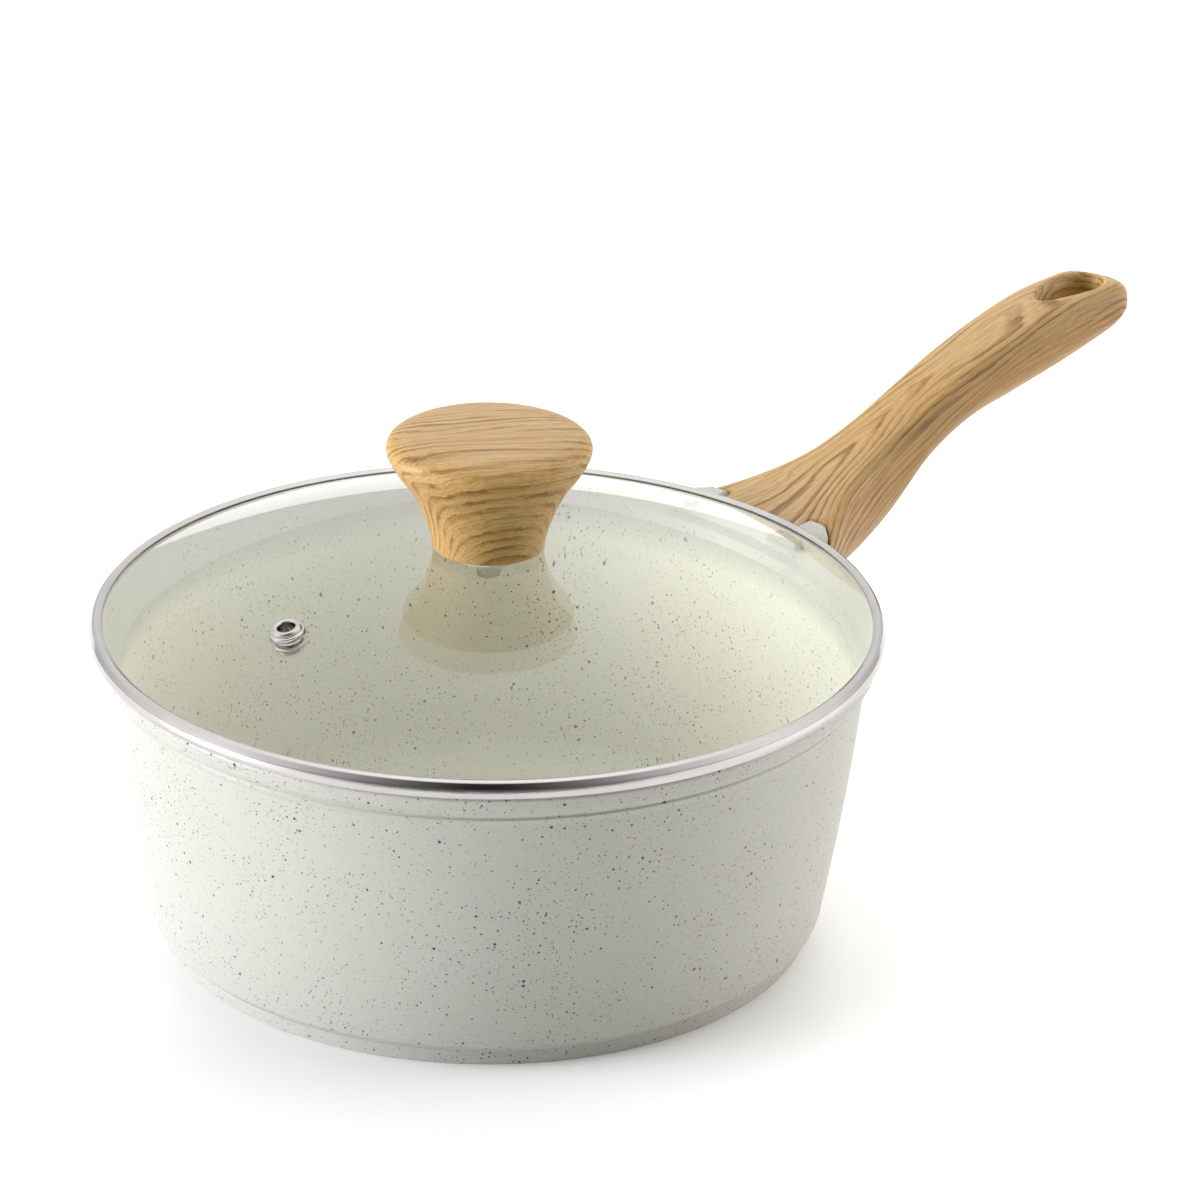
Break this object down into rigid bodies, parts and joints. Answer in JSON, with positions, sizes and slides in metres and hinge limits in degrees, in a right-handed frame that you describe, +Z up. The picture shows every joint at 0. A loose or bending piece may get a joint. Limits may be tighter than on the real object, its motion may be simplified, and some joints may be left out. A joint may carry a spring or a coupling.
{
  "type": "saucepan with glass lid",
  "caption": "Coated saucepan with a tapered wall, a wood-look side handle with a hanging eye, and a domed glass lid with a steel band, steam vent and turned knob.",
  "frame": {"origin": "middle of the flat base on the worktop, on the pan's axis", "axes": "+Z up along the pan's axis, +X along the handle"},
  "size_m": [0.3681, 0.205, 0.1356],
  "materials": {
    "stone_coating": "satin warm off-white ceramic coating on cast aluminium, with fine dark grey and brown speckles",
    "base_steel": "turned magnetic steel plate with fine circular machining lines",
    "wood_look_handle": "satin moulded handle with a light ash wood-grain film, grain along the handle",
    "wood_look_knob": "satin moulded knob with a light ash wood-grain film, straight grain across the top",
    "lid_glass": "clear tempered glass with a faint green tint",
    "bright_steel": "mirror-bright stainless steel",
    "fixing_steel": "zinc-plated or stainless fastener steel, satin",
    "insert_brass": "plain brass threaded insert, moulded into the knob",
    "silicone": "translucent white silicone, matt"
  },
  "bodies": {
    "pan": {"pan_body": "stone_coating", "base_plate": "base_steel", "handle_bracket": "stone_coating", "handle_grip": "wood_look_handle", "handle_screw": "fixing_steel", "handle_lock_washer": "fixing_steel"},
    "lid": {"lid_glass": "lid_glass", "lid_band": "bright_steel", "vent_eyelet": "bright_steel", "vent_ring": "bright_steel", "knob": "wood_look_knob", "knob_insert": "insert_brass", "knob_seat_gasket": "silicone", "knob_inner_gasket": "silicone", "knob_washer": "fixing_steel", "knob_screw": "fixing_steel"}
  },
  "joints": [
    {"name": "lid_lift", "type": "slide", "parent": "pan", "child": "lid", "axis": [0, 0, 1], "range_m": [0, 0.12]}
  ]
}
